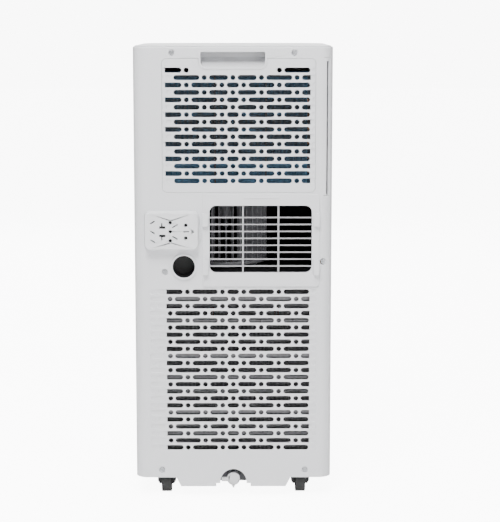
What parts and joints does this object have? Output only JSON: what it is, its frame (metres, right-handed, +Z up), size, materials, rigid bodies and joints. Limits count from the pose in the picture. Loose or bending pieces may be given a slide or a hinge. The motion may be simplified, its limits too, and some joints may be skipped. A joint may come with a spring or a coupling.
{
  "type": "portable air conditioner",
  "caption": "Free-standing portable air conditioner on castors: slotted rear grilles, guarded hose outlet, plug storage plate, side filter and inner cooling circuit.",
  "frame": {"origin": "on the floor under the centre of the bounding box", "axes": "+Z up, the cool air outlet faces -Y, the rear grilles and hose outlet face +Y"},
  "size_m": [0.294, 0.32, 0.676],
  "materials": {
    "shell_white": "satin moulded plastic",
    "pocket_white": "satin moulded plastic",
    "guard_grey": "satin moulded plastic",
    "well_plastic": "satin plastic",
    "filter_net": "fine nylon net",
    "tray_plastic": "moulded plastic",
    "bung_rubber": "soft rubber",
    "black_plastic": "moulded plastic",
    "castor_tyre": "hard rubber",
    "black_steel": "black enamel",
    "black_rubber": "rubber",
    "fin_aluminium": "thin bare fins",
    "blue_fin": "hydrophilic coated fins",
    "copper": "drawn copper tube",
    "white_foam": "expanded foam and plastic",
    "motor_steel": "zinc plated",
    "bright_steel": "zinc plated",
    "fan_plastic": "moulded plastic",
    "duct_black": "moulded plastic",
    "outlet_plastic": "satin plastic",
    "panel_gloss": "gloss",
    "display_gloss": "smoked window",
    "board_green": "solder mask",
    "float_plastic": "foamed plastic",
    "button_plastic": "satin"
  },
  "bodies": {
    "casing": {"rear_shell": "shell_white", "front_shell": "shell_white", "top_cover": "shell_white", "upper_grille": "shell_white", "handle_pocket": "pocket_white", "exhaust_frame": "shell_white", "exhaust_guard": "guard_grey", "plug_plate": "shell_white", "cord_well": "well_plastic", "base_tray": "tray_plastic", "drain_spigot": "tray_plastic", "castor_sockets": "black_plastic", "compressor": "black_steel", "compressor_feet": "black_rubber", "accumulator": "black_steel", "condenser_fins": "fin_aluminium", "condenser_tubes": "copper", "evaporator_fins": "blue_fin", "evaporator_tubes": "copper", "refrigerant_pipes": "copper", "partition_deck": "white_foam", "fan_motor": "motor_steel", "lower_scroll": "duct_black", "upper_scroll": "white_foam", "outlet_frame": "outlet_plastic", "louvre_motor": "motor_steel", "control_panel": "panel_gloss", "display_window": "display_gloss", "control_board": "board_green", "control_box": "black_plastic", "run_capacitor": "motor_steel", "float_stem": "outlet_plastic", "casing_screws": "bright_steel"},
    "rotor": {"fan_shaft": "bright_steel", "condenser_fan": "fan_plastic", "evaporator_fan": "fan_plastic"},
    "filter": {"filter_frame": "shell_white", "filter_mesh": "filter_net"},
    "louvre": {"louvre": "shell_white"},
    "vane_link": {"vane_link": "black_plastic"},
    "drain_plug": {"drain_plug": "bung_rubber"},
    "float_ring": {"float_ring": "float_plastic"},
    "vane_1": {"vane_1": "outlet_plastic"},
    "vane_2": {"vane_2": "outlet_plastic"},
    "vane_3": {"vane_3": "outlet_plastic"},
    "vane_4": {"vane_4": "outlet_plastic"},
    "vane_5": {"vane_5": "outlet_plastic"},
    "castor_fork_1": {"castor_fork_1": "black_plastic"},
    "castor_wheel_1": {"castor_wheel_1": "castor_tyre"},
    "castor_fork_2": {"castor_fork_2": "black_plastic"},
    "castor_wheel_2": {"castor_wheel_2": "castor_tyre"},
    "castor_fork_3": {"castor_fork_3": "black_plastic"},
    "castor_wheel_3": {"castor_wheel_3": "castor_tyre"},
    "castor_fork_4": {"castor_fork_4": "black_plastic"},
    "castor_wheel_4": {"castor_wheel_4": "castor_tyre"},
    "button_power": {"button_power": "button_plastic"},
    "button_mode": {"button_mode": "button_plastic"},
    "button_speed": {"button_speed": "button_plastic"},
    "button_up": {"button_up": "button_plastic"},
    "button_down": {"button_down": "button_plastic"}
  },
  "joints": [
    {"name": "fan_spin", "type": "hinge", "parent": "casing", "child": "rotor", "pos_m": [0.012, 0.02, 0.44], "axis": [0, 0, 1], "continuous": true},
    {"name": "filter_slide", "type": "slide", "parent": "casing", "child": "filter", "axis": [-1, 0, 0], "range_m": [0, 0.25]},
    {"name": "louvre_swing", "type": "hinge", "parent": "casing", "child": "louvre", "pos_m": [0, -0.152, 0.557], "axis": [1, 0, 0], "range_deg": [0, 78]},
    {"name": "vane_1_swing", "type": "hinge", "parent": "casing", "child": "vane_1", "pos_m": [-0.064, -0.134, 0.579], "axis": [0, 0, 1], "range_deg": [-25, 25]},
    {"name": "vane_2_swing", "type": "hinge", "parent": "casing", "child": "vane_2", "pos_m": [-0.032, -0.134, 0.579], "axis": [0, 0, 1], "range_deg": [-25, 25]},
    {"name": "vane_3_swing", "type": "hinge", "parent": "casing", "child": "vane_3", "pos_m": [0, -0.134, 0.579], "axis": [0, 0, 1], "range_deg": [-25, 25]},
    {"name": "vane_4_swing", "type": "hinge", "parent": "casing", "child": "vane_4", "pos_m": [0.032, -0.134, 0.579], "axis": [0, 0, 1], "range_deg": [-25, 25]},
    {"name": "vane_5_swing", "type": "hinge", "parent": "casing", "child": "vane_5", "pos_m": [0.064, -0.134, 0.579], "axis": [0, 0, 1], "range_deg": [-25, 25]},
    {"name": "vane_link_slide", "type": "slide", "parent": "casing", "child": "vane_link", "axis": [-1, 0, 0], "range_m": [-0.0096, 0.0096]},
    {"name": "button_power_press", "type": "slide", "parent": "casing", "child": "button_power", "axis": [0, 0, -1], "range_m": [0, 0.0006], "stiffness_N_per_m": 2500, "springref_m": -0.0004},
    {"name": "button_mode_press", "type": "slide", "parent": "casing", "child": "button_mode", "axis": [0, 0, -1], "range_m": [0, 0.0006], "stiffness_N_per_m": 2500, "springref_m": -0.0004},
    {"name": "button_speed_press", "type": "slide", "parent": "casing", "child": "button_speed", "axis": [0, 0, -1], "range_m": [0, 0.0006], "stiffness_N_per_m": 2500, "springref_m": -0.0004},
    {"name": "button_up_press", "type": "slide", "parent": "casing", "child": "button_up", "axis": [0, 0, -1], "range_m": [0, 0.0006], "stiffness_N_per_m": 2500, "springref_m": -0.0004},
    {"name": "button_down_press", "type": "slide", "parent": "casing", "child": "button_down", "axis": [0, 0, -1], "range_m": [0, 0.0006], "stiffness_N_per_m": 2500, "springref_m": -0.0004},
    {"name": "castor_1_swivel", "type": "hinge", "parent": "casing", "child": "castor_fork_1", "pos_m": [-0.1015, 0.114, 0.046], "axis": [0, 0, 1], "continuous": true},
    {"name": "castor_1_roll", "type": "hinge", "parent": "castor_fork_1", "child": "castor_wheel_1", "pos_m": [-0.1015, 0.119, 0.02], "axis": [1, 0, 0], "continuous": true},
    {"name": "castor_2_swivel", "type": "hinge", "parent": "casing", "child": "castor_fork_2", "pos_m": [0.1015, 0.114, 0.046], "axis": [0, 0, 1], "continuous": true},
    {"name": "castor_2_roll", "type": "hinge", "parent": "castor_fork_2", "child": "castor_wheel_2", "pos_m": [0.1015, 0.119, 0.02], "axis": [1, 0, 0], "continuous": true},
    {"name": "castor_3_swivel", "type": "hinge", "parent": "casing", "child": "castor_fork_3", "pos_m": [-0.1015, -0.128, 0.046], "axis": [0, 0, 1], "continuous": true},
    {"name": "castor_3_roll", "type": "hinge", "parent": "castor_fork_3", "child": "castor_wheel_3", "pos_m": [-0.1015, -0.133, 0.02], "axis": [1, 0, 0], "continuous": true},
    {"name": "castor_4_swivel", "type": "hinge", "parent": "casing", "child": "castor_fork_4", "pos_m": [0.1015, -0.128, 0.046], "axis": [0, 0, 1], "continuous": true},
    {"name": "castor_4_roll", "type": "hinge", "parent": "castor_fork_4", "child": "castor_wheel_4", "pos_m": [0.1015, -0.133, 0.02], "axis": [1, 0, 0], "continuous": true},
    {"name": "drain_plug_pull", "type": "slide", "parent": "casing", "child": "drain_plug", "axis": [0, 1, 0], "range_m": [0, 0.03]},
    {"name": "float_rise", "type": "slide", "parent": "casing", "child": "float_ring", "axis": [0, 0, 1], "range_m": [0, 0.0108]}
  ],
  "couplings": [
    {"joint": "vane_2_swing", "follows": "vane_1_swing", "ratio": 1},
    {"joint": "vane_3_swing", "follows": "vane_1_swing", "ratio": 1},
    {"joint": "vane_4_swing", "follows": "vane_1_swing", "ratio": 1},
    {"joint": "vane_5_swing", "follows": "vane_1_swing", "ratio": 1},
    {"joint": "vane_link_slide", "follows": "vane_1_swing", "m_per_rad": 0.0216}
  ]
}
